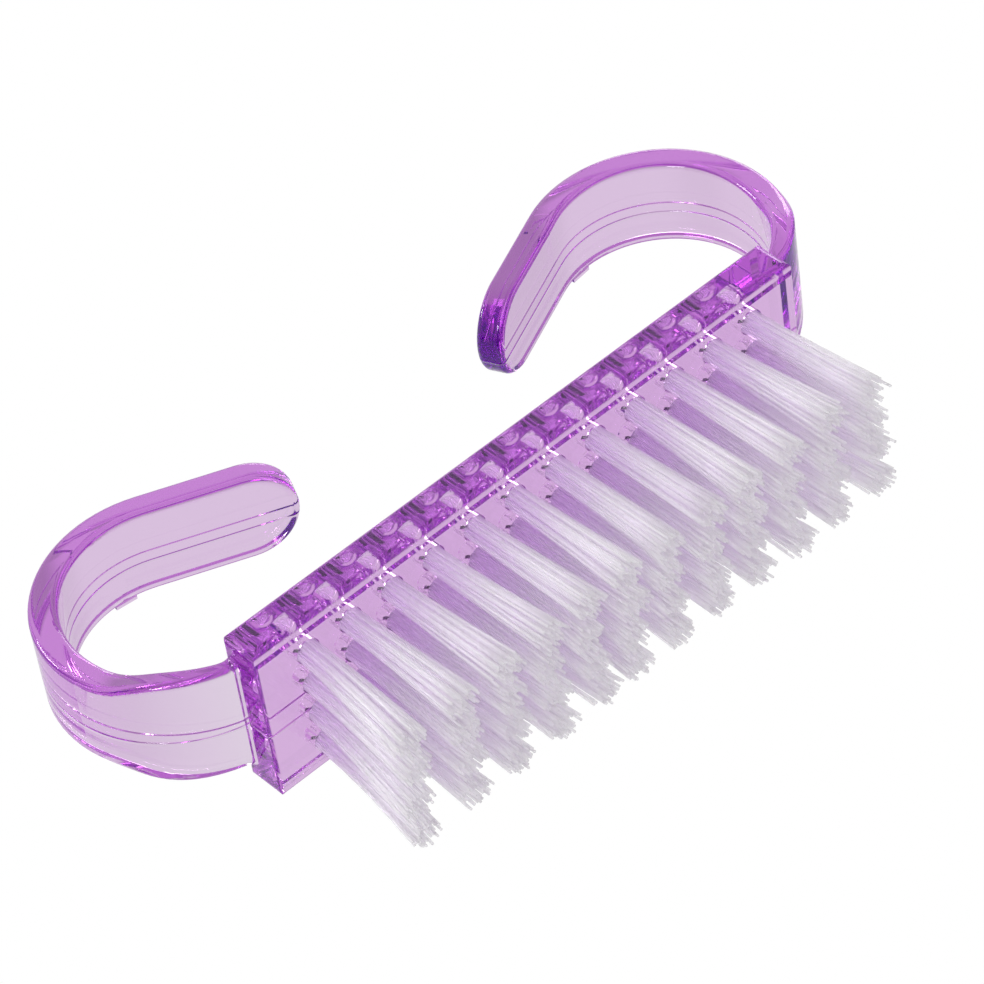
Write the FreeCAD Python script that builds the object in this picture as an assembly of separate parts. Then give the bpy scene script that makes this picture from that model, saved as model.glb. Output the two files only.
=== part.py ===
"""Nail brush with two finger hooks: one clear moulded body, 48 nylon tufts and their metal anchors.

Millimetres. The brush stands on its tufts: Z = 0 is the plane of the bristle tips, +Z points up
to the finger hooks, X runs along the brush and Y across it. The origin is under the middle.
"""
import FreeCAD, Part
import math
import os

from FreeCAD import Vector

# ---- driving dimensions -------------------------------------------------------------------
plate_length = 50.0
plate_width = 14.0
plate_thickness = 3.3
plate_top_round = 0.5          # rounding of the plate's top edges
plate_corner_round = 0.8       # rounding of the plate's four upright corners
plate_end_round = 0.3          # rounding of the edges across the plate's two ends
step_width = 1.15              # low step along the two long bristle-side edges, with its slope
step_height = 0.15             # how far the bristle face stands proud of it
step_slope = 0.3               # width of its slope down to the bristle face
step_round = 0.1               # rounding along both edges of the slope
rim_round = 0.6                # where the step meets the plate's side

strip_width = 7.5              # flat strip that each finger hook is bent from
strip_thickness = 2.1
strip_edge_round = 0.5
root_width = 9.6               # the strip is wider where it leaves the plate's end
flare_lead = 0.6               # height above the plate at which the root starts to narrow
flare_height = 6.0             # height over which it narrows to the strip's own width
root_fillet = 0.9
web_lead = 0.1                 # how far a web's curve starts inside the plate's end
foot_inset = 1.5               # how far the hook's foot is let into the plate
loop_radius = 9.9              # outer radius of the hook's round back
loop_setback = 2.2             # loop centre, inwards from the plate's end
loop_height = 11.77            # loop centre, above the bristle face
tongue_slope = 24.5            # degrees that the hook's tongue falls towards the middle
tongue_gap = 18.3              # between the two tongues' tips

gate_angle = 97.0              # degrees round the loop, where the cut-off gate sits
gate_length = 1.7
gate_depth = 0.9
gate_stand = 0.22
gate_bite = 0.3                # how far its pad is let into the strip's edge
gate_inset = 0.1               # from the strip's inner face

tuft_columns = 12
tuft_rows = 4
column_pitch = 3.76
row_pitch = 2.86
hole_radius = 1.0
hole_depth = 2.8               # to the top of its domed end
hole_dome = 0.35               # rise of that shallow dome
tuft_length = 11.5             # free length below the bristle face
tuft_tip_radius = 1.38

anchor_length = 2.7            # flat wire staple that pinches each tuft into its hole
anchor_height = 1.3
anchor_thickness = 0.28
anchor_turn = 35.0             # degrees from the brush's length
anchor_recess = 0.3            # lower edge, above the bristle face

spare = 1.0                    # how far a trimming tool runs past what it trims
near = 0.001                   # two places closer than this are the same

# ---- places worked out from them ----------------------------------------------------------
face_z = tuft_length                       # bristle face of the plate
top_z = face_z + plate_thickness
end_x = plate_length / 2
loop_x = end_x - loop_setback
loop_z = face_z + loop_height
Y_AXIS = Vector(0, 1, 0)
Z_AXIS = Vector(0, 0, 1)


def xz(x, z):
    """A point in the brush's middle plane."""
    return Vector(x, 0, z)


def on_loop(radius, degrees):
    """A point on a circle about the right hook's loop centre."""
    turn = math.radians(degrees)
    return xz(loop_x + radius * math.cos(turn), loop_z + radius * math.sin(turn))


def mirrored(shape):
    """The same shape at the other end of the brush."""
    return shape.mirror(Vector(0, 0, 0), Vector(1, 0, 0))


def rounded_outline(corners):
    """Closed outline through corners, each given with the radius that rounds it."""
    rounds = []
    for number, (corner, radius) in enumerate(corners):
        back = (corners[number - 1][0] - corner).normalize()
        onward = (corners[(number + 1) % len(corners)][0] - corner).normalize()
        half_angle = back.getAngle(onward) / 2
        inwards = (back + onward).normalize()
        reach = radius / math.tan(half_angle)
        bow = corner + inwards * (radius / math.sin(half_angle) - radius)
        rounds.append((corner + back * reach, bow, corner + onward * reach))
    edges = []
    for number, (start, bow, stop) in enumerate(rounds):
        edges.append(Part.Arc(start, bow, stop).toShape())
        edges.append(Part.LineSegment(stop, rounds[(number + 1) % len(rounds)][0]).toShape())
    return Part.Wire(edges)


def plate():
    """Rectangular plate with all its edges rounded and a low step along its bristle face."""
    half = plate_width / 2
    rim_z = face_z + step_height
    slope_y = half - step_width
    rim_y = slope_y + step_slope
    section = rounded_outline([
        (Vector(0, -half, rim_z), rim_round),
        (Vector(0, -rim_y, rim_z), step_round),
        (Vector(0, -slope_y, face_z), step_round),
        (Vector(0, slope_y, face_z), step_round),
        (Vector(0, rim_y, rim_z), step_round),
        (Vector(0, half, rim_z), rim_round),
        (Vector(0, half, top_z), plate_top_round),
        (Vector(0, -half, top_z), plate_top_round),
    ])
    bar = Part.Face(section).extrude(Vector(plate_length, 0, 0))
    bar.translate(Vector(-end_x, 0, 0))
    profile = rounded_outline([
        (xz(-end_x, face_z), plate_end_round),
        (xz(end_x, face_z), plate_end_round),
        (xz(end_x, top_z), plate_end_round),
        (xz(-end_x, top_z), plate_end_round),
    ])
    slab = Part.Face(profile).extrude(Y_AXIS * (plate_width + 2 * spare))
    slab.translate(Y_AXIS * -(half + spare))
    plan = Part.makeBox(plate_length, plate_width, plate_thickness + 2 * spare,
                        Vector(-end_x, -half, face_z - spare))
    upright = [e for e in plan.Edges if e.BoundBox.ZLength > plate_thickness]
    return bar.common(slab).common(plan.makeFillet(plate_corner_round, upright))


def hook_side():
    """Side outline of the right hook: round back, straight falling tongue, root in the plate."""
    inner_radius = loop_radius - strip_thickness
    leave = 90 + tongue_slope
    slope = math.radians(tongue_slope)
    down_tongue = Vector(-math.cos(slope), 0, -math.sin(slope))
    middle = on_loop(loop_radius - strip_thickness / 2, leave)
    run = (middle.x - tongue_gap / 2) / math.cos(slope)

    outer_leave = on_loop(loop_radius, leave)
    outer_tip = outer_leave + down_tongue * run
    inner_leave = on_loop(inner_radius, leave)
    inner_tip = inner_leave + down_tongue * run
    inner_side = on_loop(inner_radius, 0)

    # the lower inside arc leaves the loop upright and crosses the plate's top edge
    reach = inner_side.x - end_x
    drop = loop_z - top_z
    foot_radius = (reach ** 2 + drop ** 2) / (2 * reach)
    foot_centre_x = inner_side.x - foot_radius
    foot_x = end_x - foot_inset
    inner_foot = xz(foot_x, loop_z - math.sqrt(foot_radius ** 2 - (foot_x - foot_centre_x) ** 2))
    outer_foot = xz(foot_x, loop_z - math.sqrt(loop_radius ** 2 - (foot_x - loop_x) ** 2))
    foot_turn = math.radians(-45)
    foot_middle = xz(foot_centre_x + foot_radius * math.cos(foot_turn),
                     loop_z + foot_radius * math.sin(foot_turn))

    edges = [
        Part.Arc(outer_foot, on_loop(loop_radius, 0), outer_leave).toShape(),
        Part.LineSegment(outer_leave, outer_tip).toShape(),
        Part.LineSegment(outer_tip, inner_tip).toShape(),
        Part.LineSegment(inner_tip, inner_leave).toShape(),
        Part.Arc(inner_leave, on_loop(inner_radius, leave / 2), inner_side).toShape(),
        Part.Arc(inner_side, foot_middle, inner_foot).toShape(),
        Part.LineSegment(inner_foot, outer_foot).toShape(),
    ]
    return Part.Wire(edges)


def hook_front():
    """Front outline that trims the hook: wide at its root, narrowing to the strip's width."""
    flare_start = top_z + flare_lead
    bend = flare_height / 2
    flare_end = flare_start + flare_height
    high = loop_z + loop_radius + spare
    wide = root_width / 2
    narrow = strip_width / 2
    sides = []
    for side in (1, -1):
        curve = Part.BezierCurve()
        curve.setPoles([
            Vector(0, side * wide, flare_start),
            Vector(0, side * wide, flare_start + bend),
            Vector(0, side * narrow, flare_end - bend),
            Vector(0, side * narrow, flare_end),
        ])
        root = Part.LineSegment(Vector(0, side * wide, face_z), Vector(0, side * wide, flare_start))
        rise = Part.LineSegment(Vector(0, side * narrow, flare_end), Vector(0, side * narrow, high))
        sides.append([root.toShape(), curve.toShape(), rise.toShape()])
    top = Part.LineSegment(Vector(0, narrow, high), Vector(0, -narrow, high)).toShape()
    foot = Part.LineSegment(Vector(0, -wide, face_z), Vector(0, wide, face_z)).toShape()
    outline = Part.Wire([foot] + sides[0] + [top] + sides[1][::-1])
    return Part.Face(outline).extrude(Vector(end_x + loop_radius, 0, 0))


def tongue_end_waste():
    """What is cut from the tongue so that its end is a half circle."""
    half = strip_width / 2
    slope = math.radians(tongue_slope)
    middle = on_loop(loop_radius - strip_thickness / 2, 90 + tongue_slope)
    run = (middle.x - tongue_gap / 2) / math.cos(slope)
    reach = 2 * strip_thickness
    block = Part.makeBox(half + spare, strip_width + 2 * spare, 2 * reach,
                         Vector(-spare, -half - spare, -reach))
    keep = Part.makeCylinder(half, 2 * (reach + spare), Vector(half, 0, -reach - spare), Z_AXIS)
    waste = block.cut(keep)
    waste.rotate(Vector(0, 0, 0), Y_AXIS, -tongue_slope)
    tip = middle + Vector(-math.cos(slope), 0, -math.sin(slope)) * run
    waste.translate(tip)
    return waste


def root_webs(strip):
    """Small hollow-curved webs in the corners between the plate's end and the strip's edges."""
    wide = root_width / 2
    centre_x = end_x + root_fillet - web_lead
    foot_x = end_x - foot_inset
    webs = []
    for side in (1, -1):
        low_y = min(side * (wide - spare), side * (wide + root_fillet))
        block = Part.makeBox(centre_x - foot_x, root_fillet + spare, plate_thickness + 2 * spare,
                             Vector(foot_x, low_y, face_z))
        hollow = Part.makeCylinder(root_fillet, plate_thickness + 4 * spare,
                                   Vector(centre_x, side * (wide + root_fillet), face_z - spare), Z_AXIS)
        webs.append(block.cut(hollow).common(strip))
    return webs


def hook():
    """Right-hand finger hook, edges softened, with its foot let into the plate."""
    half = root_width / 2 + root_fillet + spare
    strip = Part.Face(hook_side()).extrude(Y_AXIS * (2 * half))
    strip.translate(Y_AXIS * -half)
    webs = root_webs(strip)
    strip = strip.common(hook_front())
    strip = strip.cut(tongue_end_waste())
    strip = strip.fuse(webs).removeSplitter()
    long_edges = [e for e in strip.Edges if is_long_edge(e)]
    return strip.makeFillet(strip_edge_round, long_edges)


def is_long_edge(edge):
    """True for an edge that runs along the strip, round its end or along a web."""
    box = edge.BoundBox
    across = box.YLength > strip_width - near
    on_foot = box.XMax < end_x + near and box.XMin > end_x - foot_inset - near
    seam = edge.Curve.TypeId == "Part::GeomLine" and edge.Length < 1.5 * strip_thickness
    return not on_foot and not across and not seam


def gate_mark():
    """What is left of the moulding gate: a low pad on the far edge of the strip."""
    pad = Part.makeBox(gate_length, gate_stand + gate_bite, gate_depth,
                       Vector(-gate_length / 2, strip_width / 2 - gate_bite, -gate_depth / 2))
    pad.rotate(Vector(0, 0, 0), Y_AXIS, 90 - gate_angle)
    pad.translate(on_loop(loop_radius - strip_thickness + gate_inset + gate_depth / 2, gate_angle))
    return pad


def hole_centres():
    """Row, column and place of every tuft, rows across the brush and columns along it."""
    places = []
    for row in range(tuft_rows):
        for column in range(tuft_columns):
            x = (column - (tuft_columns - 1) / 2) * column_pitch
            y = (row - (tuft_rows - 1) / 2) * row_pitch
            places.append((row + 1, column + 1, Vector(x, y, face_z)))
    return places


def domed_plug(base):
    """Solid that fills one blind hole: a short cylinder whose far end is a shallow dome."""
    dome_radius = (hole_radius ** 2 + hole_dome ** 2) / (2 * hole_dome)
    whole = Part.makeCylinder(hole_radius, hole_depth, base, Z_AXIS)
    straight = Part.makeCylinder(hole_radius, hole_depth - hole_dome, base, Z_AXIS)
    ball = Part.makeSphere(dome_radius, base + Z_AXIS * (hole_depth - dome_radius))
    return whole.common(ball).fuse(straight).removeSplitter()


def anchor(base):
    """Flat wire staple across one hole, its two ends bitten into the plastic."""
    bar = Part.makeBox(anchor_length, anchor_thickness, anchor_height,
                       Vector(-anchor_length / 2, -anchor_thickness / 2, 0))
    bar.rotate(Vector(0, 0, 0), Z_AXIS, anchor_turn)
    bar.translate(base + Z_AXIS * anchor_recess)
    return bar


def tuft(base):
    """Root of the bundle in its hole, and the free bundle spreading a little to its tip."""
    root = domed_plug(base).cut(anchor(base))
    tip = base - Z_AXIS * tuft_length
    free = Part.makeCone(tuft_tip_radius, hole_radius, tuft_length, tip, Z_AXIS)
    return root.fuse(free).removeSplitter()


def body():
    """Plate and both hooks in one moulding, bored for the tufts and slotted by their anchors."""
    right = hook()
    shape = plate().fuse([right, mirrored(right), gate_mark(), mirrored(gate_mark())])
    bores = []
    for _, _, base in hole_centres():
        bores.append(domed_plug(base))
        bores.append(anchor(base))
    return shape.cut(bores)


def write(name, shape):
    """Save one named part, after checking that it is sound."""
    if not shape.isValid():
        raise RuntimeError(name + " is not a valid solid")
    shape.exportStep("parts/" + name + ".step")


def main():
    os.makedirs("parts", exist_ok=True)
    write("moulded_body", body())
    anchors = {}
    for row, column, base in hole_centres():
        write("tuft_row%d_col%02d" % (row, column), tuft(base))
        anchors.setdefault(row, []).append(anchor(base))
    for row, bars in anchors.items():
        write("anchors_row%d" % row, Part.makeCompound(bars))


if __name__ == "__main__":
    main()
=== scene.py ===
import math
import random

import bmesh
import bpy
from mathutils import Matrix, Quaternion, Vector


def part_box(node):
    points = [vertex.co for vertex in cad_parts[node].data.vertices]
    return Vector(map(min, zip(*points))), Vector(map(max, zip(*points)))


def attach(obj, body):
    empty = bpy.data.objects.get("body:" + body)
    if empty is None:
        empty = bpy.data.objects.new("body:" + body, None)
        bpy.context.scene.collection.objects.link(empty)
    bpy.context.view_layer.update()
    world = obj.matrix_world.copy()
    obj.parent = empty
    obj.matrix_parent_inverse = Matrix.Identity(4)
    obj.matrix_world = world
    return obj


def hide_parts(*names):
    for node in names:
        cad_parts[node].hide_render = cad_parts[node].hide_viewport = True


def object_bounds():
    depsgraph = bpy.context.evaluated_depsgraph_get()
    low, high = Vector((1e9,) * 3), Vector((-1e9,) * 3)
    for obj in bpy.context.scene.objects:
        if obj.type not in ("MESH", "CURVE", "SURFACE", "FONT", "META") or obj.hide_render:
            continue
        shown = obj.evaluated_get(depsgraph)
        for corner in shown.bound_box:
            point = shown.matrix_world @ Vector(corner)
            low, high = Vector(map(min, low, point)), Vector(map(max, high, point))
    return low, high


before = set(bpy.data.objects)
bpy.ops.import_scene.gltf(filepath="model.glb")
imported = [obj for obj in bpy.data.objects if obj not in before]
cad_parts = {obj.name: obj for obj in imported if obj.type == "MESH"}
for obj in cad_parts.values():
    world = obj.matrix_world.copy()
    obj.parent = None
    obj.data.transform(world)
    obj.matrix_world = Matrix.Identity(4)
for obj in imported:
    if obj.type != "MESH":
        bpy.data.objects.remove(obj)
cad_low, cad_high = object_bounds()
MM = 0.001


# ---- Moulded body -------------------------------------------------------------------------
# The plate and both finger hooks are one injection moulding in clear purple polystyrene. The
# mould's two halves meet along a line a little to one side of the middle, which leaves a fine
# witness line round both hooks, and the steel's polish leaves a very slight ripple.
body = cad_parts["moulded_body"]
plate_face_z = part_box("moulded_body")[0].z
plastic_index = 1.53
plastic_tint = (0.93, 0.92, 0.94, 1)
smoothest_plastic = 0.01
dullest_plastic = 0.05
dye_density = 160.0
dye_colour = (0.785, 0.08, 0.89, 1)
parting_y = 0.8 * MM
parting_width = 0.10 * MM
parting_height = 0.09 * MM
ripple_size = 4.0 * MM
ripple_height = 0.006 * MM


def new_group(name, inputs, output):
    """An empty shader node group with named numbers going in and one number coming out."""
    group = bpy.data.node_groups.new(name, "ShaderNodeTree")
    for socket_name in inputs:
        group.interface.new_socket(socket_name, in_out="INPUT", socket_type="NodeSocketFloat")
    group.interface.new_socket(output, in_out="OUTPUT", socket_type="NodeSocketFloat")
    return group, group.nodes.new("NodeGroupInput"), group.nodes.new("NodeGroupOutput")


def place_group(tree, group, values):
    """A node group placed in a material with its own values; returns what comes out of it."""
    node = tree.nodes.new("ShaderNodeGroup")
    node.node_tree = group
    for name, value in values.items():
        node.inputs[name].default_value = value
    return node.outputs[0]


def new_material(name):
    """A material with its tree, its Principled shader and its output node."""
    material = bpy.data.materials.new(name)
    material.use_nodes = True
    tree = material.node_tree
    return material, tree, tree.nodes["Principled BSDF"], tree.nodes["Material Output"]


def math_node(tree, operation, first, second):
    """A Math node whose two inputs are each a socket or a plain number."""
    node = tree.nodes.new("ShaderNodeMath")
    node.operation = operation
    for slot, value in zip(node.inputs, (first, second)):
        if isinstance(value, (int, float)):
            slot.default_value = value
        else:
            tree.links.new(value, slot)
    return node.outputs[0]


def object_axis(tree, axis):
    """One coordinate of the shaded spot, in the object's own axes."""
    spot = tree.nodes.new("ShaderNodeTexCoord")
    axes = tree.nodes.new("ShaderNodeSeparateXYZ")
    tree.links.new(spot.outputs["Object"], axes.inputs[0])
    return axes.outputs[axis]


def between(tree, mask, low, high):
    """A number that goes from low to high as the mask goes from nought to one."""
    node = tree.nodes.new("ShaderNodeMapRange")
    node.inputs["To Min"].default_value = low
    node.inputs["To Max"].default_value = high
    tree.links.new(mask, node.inputs["Value"])
    return node.outputs[0]


def relief(tree, height, scale):
    """A normal that follows a height, which is in metres once multiplied by the scale."""
    node = tree.nodes.new("ShaderNodeBump")
    node.inputs["Distance"].default_value = scale
    tree.links.new(height, node.inputs["Height"])
    return node.outputs[0]


witness, witness_in, witness_out = new_group("witness line", ["Place", "Width"], "Height")
away = math_node(witness, "SUBTRACT", object_axis(witness, "Y"), witness_in.outputs["Place"])
share = math_node(witness, "DIVIDE", away, witness_in.outputs["Width"])
squared = math_node(witness, "MULTIPLY", share, share)
ridge = math_node(witness, "POWER", math.e ** -1, squared)
witness.links.new(ridge, witness_out.inputs["Height"])

ripple, ripple_in, ripple_out = new_group("polish ripple", ["Size"], "Mask")
spot = ripple.nodes.new("ShaderNodeTexCoord")
waves = ripple.nodes.new("ShaderNodeTexNoise")
waves.inputs["Detail"].default_value = 2.0
ripple.links.new(spot.outputs["Object"], waves.inputs["Vector"])
ripple.links.new(math_node(ripple, "DIVIDE", 1.0, ripple_in.outputs["Size"]), waves.inputs["Scale"])
ripple.links.new(waves.outputs["Fac"], ripple_out.inputs["Mask"])

plastic, tree, shader, output = new_material("clear purple plastic")
shader.inputs["Base Color"].default_value = plastic_tint
shader.inputs["Transmission Weight"].default_value = 1.0
shader.inputs["IOR"].default_value = plastic_index
dye = tree.nodes.new("ShaderNodeVolumeAbsorption")
dye.inputs["Color"].default_value = dye_colour
dye.inputs["Density"].default_value = dye_density
tree.links.new(dye.outputs[0], output.inputs["Volume"])
line = place_group(tree, witness, {"Place": parting_y, "Width": parting_width})
polish = place_group(tree, ripple, {"Size": ripple_size})
height = math_node(
    tree, "ADD",
    math_node(tree, "MULTIPLY", line, parting_height),
    math_node(tree, "MULTIPLY", polish, ripple_height))
tree.links.new(relief(tree, height, 1.0), shader.inputs["Normal"])
tree.links.new(between(tree, polish, smoothest_plastic, dullest_plastic), shader.inputs["Roughness"])
for slot in body.material_slots:
    slot.material = plastic


# ---- Bristle tufts ------------------------------------------------------------------------
# Forty-eight bundles of clear nylon filament, one in each blind hole of the plate. Each strand
# is folded over the hole's anchor, so both of its ends stand out of the plate, and the bundle
# spreads towards the cut tips. The outer columns lean outwards.
rows = 4
columns = 12
hole_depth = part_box("tuft_row1_col01")[1].z - plate_face_z
anchor_angle = math.radians(35)
anchor_turn = Matrix.Rotation(anchor_angle, 3, "Z")

filament_radius = 0.10 * MM
filament_sides = 6
filament_spacing = 0.235 * MM
filament_jitter = 0.15 * filament_spacing
bundle_radius = 0.88 * MM       # at the hole's mouth
gap_half = 0.25 * MM            # half the gap that the anchor keeps open in the bundle
gap_rise = 0.6 * MM             # above the mouth, where that gap is fully open
bend_depth = 0.9 * MM           # from the hole's blind end to where the fold begins
bend_rise = 0.7 * MM            # height of the fold over the anchor
shoulder = 0.7                  # how far out and up the fold's shoulders are, as a share
tip_spread = 1.36               # width of the bundle at its tips, against that at the mouth
spread_scatter = 0.1
spread_curve = 1.2
tip_scatter = 0.11 * MM
tip_unevenness = 0.6 * MM
end_lean = 0.9 * MM             # outward lean of the end columns at their tips
end_lean_power = 6              # the higher, the less the inner columns share it
lean_curve = 1.4
tuft_wander = 0.22 * MM         # each tuft's own small lean

nylon_index = 1.53
nylon_softness = 0.5 * MM
smoothest_nylon = 0.2
dullest_nylon = 0.4

streaks, streaks_in, streaks_out = new_group("lengthwise streaks", ["Turn", "Across", "Along"], "Mask")
spot = streaks.nodes.new("ShaderNodeTexCoord")
turned = streaks.nodes.new("ShaderNodeVectorRotate")
turned.rotation_type = "Z_AXIS"
streaks.links.new(spot.outputs["Object"], turned.inputs["Vector"])
streaks.links.new(streaks_in.outputs["Turn"], turned.inputs["Angle"])
stretch = streaks.nodes.new("ShaderNodeCombineXYZ")
streaks.links.new(streaks_in.outputs["Along"], stretch.inputs["X"])
streaks.links.new(streaks_in.outputs["Across"], stretch.inputs["Y"])
streaks.links.new(streaks_in.outputs["Across"], stretch.inputs["Z"])
cells = streaks.nodes.new("ShaderNodeVectorMath")
cells.operation = "DIVIDE"
streaks.links.new(turned.outputs[0], cells.inputs[0])
streaks.links.new(stretch.outputs[0], cells.inputs[1])
grain = streaks.nodes.new("ShaderNodeTexNoise")
grain.inputs["Scale"].default_value = 1.0
grain.inputs["Detail"].default_value = 3.0
streaks.links.new(cells.outputs[0], grain.inputs["Vector"])
streaks.links.new(grain.outputs["Fac"], streaks_out.inputs["Mask"])

nylon, tree, shader, output = new_material("clear nylon filament")
height = tree.nodes.new("ShaderNodeMapRange")
height.inputs["From Max"].default_value = plate_face_z + hole_depth
tree.links.new(object_axis(tree, "Z"), height.inputs["Value"])
mouth_level = plate_face_z / (plate_face_z + hole_depth)
halfway_level = mouth_level / 2
inside_level = mouth_level + 0.06


def ramp(stops):
    """A colour ramp along the height of a tuft, from its cut tips to the blind end of its hole."""
    node = tree.nodes.new("ShaderNodeValToRGB")
    while len(node.color_ramp.elements) < len(stops):
        node.color_ramp.elements.new(0.5)
    for element, (place, colour) in zip(node.color_ramp.elements, stops):
        element.position = place
        element.color = (*colour, 1)
    tree.links.new(height.outputs[0], node.inputs[0])
    return node.outputs["Color"]


# Near the plate the strands' base colour turns lilac. This is painted purple light, standing in for the
# plate's light that falls on them. Clear nylon also carries light along itself, which is a faint painted
# glow here, and it is strongest where the strands stand in their holes.
painted_plate_light = ramp([
    (0.0, (0.97, 0.945, 0.98)),
    (halfway_level, (0.97, 0.945, 0.98)),
    (mouth_level, (0.87, 0.75, 0.91)),
])
piped_light = ramp([
    (0.0, (0.05, 0.042, 0.055)),
    (halfway_level, (0.03, 0.024, 0.035)),
    (mouth_level, (0.06, 0.035, 0.075)),
    (inside_level, (0.17, 0.14, 0.18)),
])
solidity = ramp([(0.0, (0.6, 0.6, 0.6)), (mouth_level, (0.35, 0.35, 0.35))])
cloud = place_group(tree, streaks, {"Across": 1.5 * MM, "Along": 0.3 * MM})
# The painted purple light near the plate goes into the strands' base colour, and the painted glow into their
# emission.
tree.links.new(painted_plate_light, shader.inputs["Base Color"])
tree.links.new(piped_light, shader.inputs["Emission Color"])
tree.links.new(solidity, shader.inputs["Alpha"])
tree.links.new(between(tree, cloud, smoothest_nylon, dullest_nylon), shader.inputs["Roughness"])
shader.inputs["IOR"].default_value = nylon_index
shader.inputs["Emission Strength"].default_value = 1.0
shader.inputs["Subsurface Weight"].default_value = 1.0
shader.inputs["Subsurface Radius"].default_value = (1.0, 1.0, 1.0)
shader.inputs["Subsurface Scale"].default_value = nylon_softness


def strand_places(chance):
    """Places of half a bundle's filament ends, on one side of the anchor, at the hole's mouth.

    They stand in staggered lines, as round strands pack.
    """
    places = []
    step = filament_spacing * math.sqrt(0.75)
    count = int(bundle_radius / filament_spacing) + 1
    for line_number in range(count + 2):
        across = step * (line_number + 0.5)
        shift = 0.5 * (line_number % 2)
        for place in range(-count, count + 1):
            along = filament_spacing * (place + shift)
            if math.hypot(along, across) < bundle_radius:
                places.append((along + chance.uniform(-filament_jitter, filament_jitter),
                               across + chance.uniform(-filament_jitter, filament_jitter)))
    return places


def strand(centre, top_z, place, lean, chance):
    """Centre line of one strand: up from one cut tip, over the anchor and down to the other.

    The fold is lower towards the two sides of the bundle.
    """
    along, across = place
    squeeze = (bundle_radius - gap_half) / bundle_radius
    bend_z = top_z - bend_depth
    rise = bend_rise * math.sqrt(1 - 0.5 * (along / bundle_radius) ** 2)

    def point(flat, z):
        return centre + flat + Vector((0, 0, z))

    legs = []
    for side in (1, -1):
        spread = tip_spread * chance.uniform(1 - spread_scatter, 1 + spread_scatter)
        tip = Vector((along * spread + chance.gauss(0, tip_scatter),
                      side * across * spread + chance.gauss(0, tip_scatter), 0))
        tip_z = tip_unevenness * chance.random() ** 2
        mouth = Vector((along, side * across, 0))
        held = Vector((along, side * (gap_half + across * squeeze), 0))
        bent = Vector((along, held.y * shoulder, 0))
        leg = []
        for share in (1.0, 0.75, 0.5, 0.25, 0.0):
            flat = anchor_turn @ mouth.lerp(tip, share ** spread_curve) + lean * share ** lean_curve
            leg.append(point(flat, tip_z + (plate_face_z - tip_z) * (1 - share)))
        for share in (0.3, 1.0):
            leg.append(point(anchor_turn @ mouth.lerp(held, share), plate_face_z + share * gap_rise))
        leg.append(point(anchor_turn @ held, bend_z))
        leg.append(point(anchor_turn @ bent, bend_z + rise * shoulder))
        legs.append(leg)
    crown = point(anchor_turn @ Vector((along, 0, 0)), bend_z + rise)
    return legs[0] + [crown] + legs[1][::-1]


def sweep(points, vertices, faces):
    """Adds a round filament along a line of points, with flat cut ends."""
    first = len(vertices)
    normal = (points[1] - points[0]).orthogonal().normalized()
    for number, point in enumerate(points):
        before = points[max(number - 1, 0)]
        after = points[min(number + 1, len(points) - 1)]
        forward = (after - before).normalized()
        normal = (normal - forward * normal.dot(forward)).normalized()
        side = forward.cross(normal)
        for corner in range(filament_sides):
            angle = 2 * math.pi * corner / filament_sides
            vertices.append(point + filament_radius * (math.cos(angle) * normal + math.sin(angle) * side))
        if number:
            ring = len(vertices) - filament_sides
            last_ring = ring - filament_sides
            for corner in range(filament_sides):
                beside = (corner + 1) % filament_sides
                faces.append((last_ring + corner, last_ring + beside, ring + beside, ring + corner))
    faces.append(tuple(range(first + filament_sides - 1, first - 1, -1)))
    faces.append(tuple(range(len(vertices) - filament_sides, len(vertices))))


def add_object(name, mesh, material):
    """Puts a finished mesh into the scene as an object of one material."""
    mesh.materials.append(material)
    thing = bpy.data.objects.new(name, mesh)
    bpy.context.scene.collection.objects.link(thing)
    return thing


for row in range(1, rows + 1):
    for column in range(1, columns + 1):
        node = "tuft_row%d_col%02d" % (row, column)
        low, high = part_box(node)
        centre = Vector(((low.x + high.x) / 2, (low.y + high.y) / 2, 0))
        chance = random.Random(100 * row + column)
        outward = (column - (columns + 1) / 2) / ((columns - 1) / 2)
        pushed_out = math.copysign(abs(outward) ** end_lean_power, outward) * end_lean
        lean = Vector((pushed_out + chance.gauss(0, tuft_wander), chance.gauss(0, tuft_wander / 2), 0))
        vertices = []
        faces = []
        for place in strand_places(chance):
            sweep(strand(centre, high.z, place, lean, chance), vertices, faces)
        mesh = bpy.data.meshes.new(node + "_filaments")
        mesh.from_pydata(vertices, [], faces)
        mesh.shade_smooth()
        tuft = add_object(node + "_filaments", mesh, nylon)
        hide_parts(node)
        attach(tuft, "root")


# ---- Anchors ------------------------------------------------------------------------------
# Short pieces of flat drawn steel wire, one across every hole. Each is driven in over its
# tuft's fold and bites into the plastic at both ends, so it shows through the clear plate.
wire_clearance = 0.012 * MM     # keeps the wire's faces off the faces of its slot
wire_length = 2.7 * MM
wire_thickness = 0.28 * MM
wire_corner = 0.05 * MM
dark_steel = (0.13, 0.12, 0.14, 1)
light_steel = (0.32, 0.30, 0.33, 1)
smoothest_steel = 0.15
dullest_steel = 0.4
draw_mark_depth = 0.01 * MM

steel, tree, shader, output = new_material("drawn steel wire")
shader.inputs["Metallic"].default_value = 1.0
drawn = place_group(tree, streaks, {"Turn": -anchor_angle, "Along": 1.0 * MM, "Across": 0.06 * MM})
tone = tree.nodes.new("ShaderNodeMix")
tone.data_type = "RGBA"
tone.inputs["A"].default_value = dark_steel
tone.inputs["B"].default_value = light_steel
tree.links.new(drawn, tone.inputs["Factor"])
tree.links.new(tone.outputs["Result"], shader.inputs["Base Color"])
tree.links.new(between(tree, drawn, smoothest_steel, dullest_steel), shader.inputs["Roughness"])
tree.links.new(relief(tree, drawn, draw_mark_depth), shader.inputs["Normal"])

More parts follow.
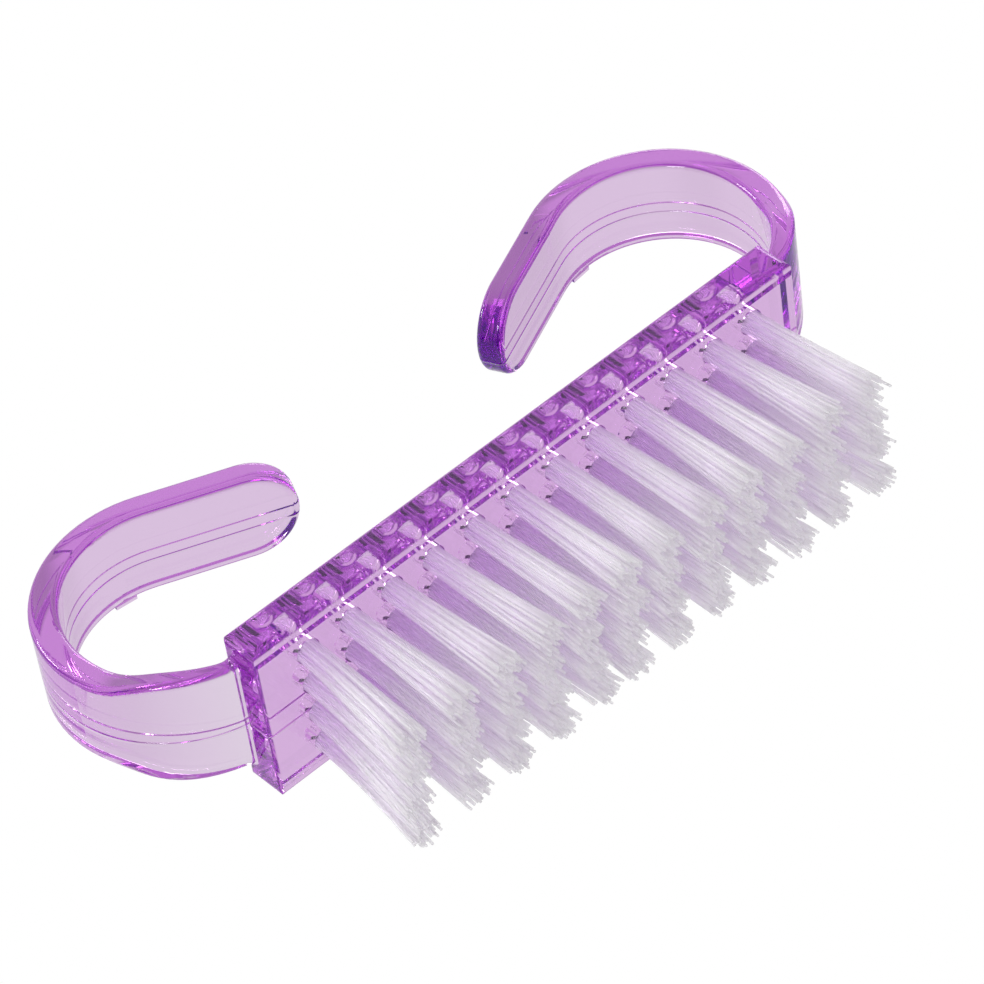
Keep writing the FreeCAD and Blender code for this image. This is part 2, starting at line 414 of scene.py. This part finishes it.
for row in range(1, rows + 1):
    node = "anchors_row%d" % row
    low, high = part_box(node)
    bars = bmesh.new()
    for column in range(1, columns + 1):
        hole_low, hole_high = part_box("tuft_row%d_col%02d" % (row, column))
        place = Vector(((hole_low.x + hole_high.x) / 2, (hole_low.y + hole_high.y) / 2, (low.z + high.z) / 2))
        size = Vector((wire_length, wire_thickness, high.z - low.z)) - Vector((1, 1, 1)) * wire_clearance
        where = Matrix.Translation(place) @ anchor_turn.to_4x4() @ Matrix.Diagonal(size).to_4x4()
        bmesh.ops.create_cube(bars, size=1.0, matrix=where)
    bmesh.ops.bevel(bars, geom=bars.edges[:], offset=wire_corner, segments=2, affect="EDGES")
    mesh = bpy.data.meshes.new(node + "_wire")
    bars.to_mesh(mesh)
    bars.free()
    wires = add_object(node + "_wire", mesh, steel)
    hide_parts(node)
    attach(wires, "root")


# ---- Table top ----------------------------------------------------------------------------
# A plain pale table under the bristle tips. It is seen from above only, fades out into the
# white room, and throws no light or shade back, as if the brush stood on a light table.
table_size = 3.0
fade_start = 0.15
table_colour = (0.9, 0.9, 0.9, 1)
table_roughness = 0.6

pale, tree, shader, output = new_material("pale table top")
shader.inputs["Base Color"].default_value = table_colour
shader.inputs["Roughness"].default_value = table_roughness
open_side = tree.nodes.new("ShaderNodeBsdfTransparent")
choice = tree.nodes.new("ShaderNodeMixShader")
facing = tree.nodes.new("ShaderNodeNewGeometry")
spot = tree.nodes.new("ShaderNodeTexCoord")
far = tree.nodes.new("ShaderNodeVectorMath")
far.operation = "LENGTH"
tree.links.new(spot.outputs["Object"], far.inputs[0])
fade = tree.nodes.new("ShaderNodeMapRange")
fade.interpolation_type = "SMOOTHSTEP"
fade.inputs["From Min"].default_value = fade_start
fade.inputs["From Max"].default_value = table_size / 2
tree.links.new(far.outputs["Value"], fade.inputs["Value"])
open_share = math_node(tree, "MAXIMUM", facing.outputs["Backfacing"], fade.outputs[0])
tree.links.new(open_share, choice.inputs[0])
tree.links.new(shader.outputs[0], choice.inputs[1])
tree.links.new(open_side.outputs[0], choice.inputs[2])
tree.links.new(choice.outputs[0], output.inputs["Surface"])

half = table_size / 2
corners = [(-half, -half, 0), (half, -half, 0), (half, half, 0), (-half, half, 0)]
table_mesh = bpy.data.meshes.new("table_top")
table_mesh.from_pydata(corners, [], [(0, 1, 2, 3)])
table_top = add_object("table_top", table_mesh, pale)
table_top.visible_diffuse = False
table_top.visible_glossy = False
table_top.visible_transmission = False
table_top.visible_shadow = False


# ---- White room and lamps -----------------------------------------------------------------
# The room is pure white to look at. It lights the brush more from overhead and underfoot than
# from the sides, and three soft lamps give the plastic its highlights.
side_light = 0.5
overhead_light = 0.8
side_band = 0.1                 # steepness up to which the room is at its side light
overhead_band = 0.5             # steepness from which it is at its overhead light

world = bpy.data.worlds.new("white room")
bpy.context.scene.world = world
world.use_nodes = True
room = world.node_tree
sky = room.nodes["Background"]
sky.inputs["Color"].default_value = (1, 1, 1, 1)
direction = room.nodes.new("ShaderNodeTexCoord")
axes = room.nodes.new("ShaderNodeSeparateXYZ")
room.links.new(direction.outputs["Generated"], axes.inputs[0])
level = room.nodes.new("ShaderNodeMapRange")
level.interpolation_type = "SMOOTHSTEP"
level.inputs["From Min"].default_value = side_band
level.inputs["From Max"].default_value = overhead_band
level.inputs["To Min"].default_value = side_light
level.inputs["To Max"].default_value = overhead_light
room.links.new(math_node(room, "ABSOLUTE", axes.outputs["Z"], 0.0), level.inputs["Value"])
rays = room.nodes.new("ShaderNodeLightPath")
strength = math_node(room, "MAXIMUM", level.outputs[0], rays.outputs["Is Camera Ray"])
room.links.new(strength, sky.inputs["Strength"])

middle = (cad_low + cad_high) / 2


def lamp(name, azimuth, elevation, distance, width, length, radiance):
    """A rectangular soft lamp that faces the brush."""
    turn = math.radians(azimuth)
    rise = math.radians(elevation)
    towards = Vector((math.sin(turn) * math.cos(rise), -math.cos(turn) * math.cos(rise), math.sin(rise)))
    light = bpy.data.lights.new(name, "AREA")
    light.shape = "RECTANGLE"
    light.size = width
    light.size_y = length
    light.energy = radiance * math.pi * width * length
    thing = bpy.data.objects.new(name, light)
    thing.location = middle + towards * distance
    thing.rotation_mode = "QUATERNION"
    thing.rotation_quaternion = towards.to_track_quat("Z", "Y")
    thing.visible_camera = False
    bpy.context.scene.collection.objects.link(thing)


lamp("softbox_left", azimuth=-60, elevation=50, distance=0.8, width=0.2, length=0.3, radiance=10.0)
lamp("softbox_right", azimuth=75, elevation=40, distance=0.9, width=0.3, length=0.45, radiance=3.0)
lamp("softbox_below", azimuth=-60, elevation=-20, distance=0.8, width=0.15, length=0.25, radiance=12.0)


# ---- Camera -------------------------------------------------------------------------------
# It looks up at the bristle side from below and to the left, tipped over, so that the brush
# lies across the picture from corner to corner. Light has to pass many faces of clear plastic
# and bounce among the strands, so its paths are long.
camera_azimuth = math.radians(-30.9)
camera_rise = math.radians(-34.2)
camera_roll = math.radians(-55.4)
camera_distance = 344 * MM
camera_lens = 184

camera = bpy.data.objects.new("camera", bpy.data.cameras.new("camera"))
camera.data.lens = camera_lens
camera.data.clip_start = 0.01
back = Vector((math.sin(camera_azimuth) * math.cos(camera_rise),
               -math.cos(camera_azimuth) * math.cos(camera_rise), math.sin(camera_rise)))
camera.location = Vector((0, 0, plate_face_z)) + back * camera_distance
away = (camera.location - middle).normalized()
camera.rotation_mode = "QUATERNION"
camera.rotation_quaternion = away.to_track_quat("Z", "Y") @ Quaternion((0, 0, 1), camera_roll)
bpy.context.scene.collection.objects.link(camera)
bpy.context.scene.camera = camera
bpy.context.scene.view_settings.view_transform = "Standard"
light_paths = bpy.context.scene.cycles
light_paths.max_bounces = 64
light_paths.glossy_bounces = 64
light_paths.transmission_bounces = 64
light_paths.diffuse_bounces = 24
light_paths.transparent_max_bounces = 32
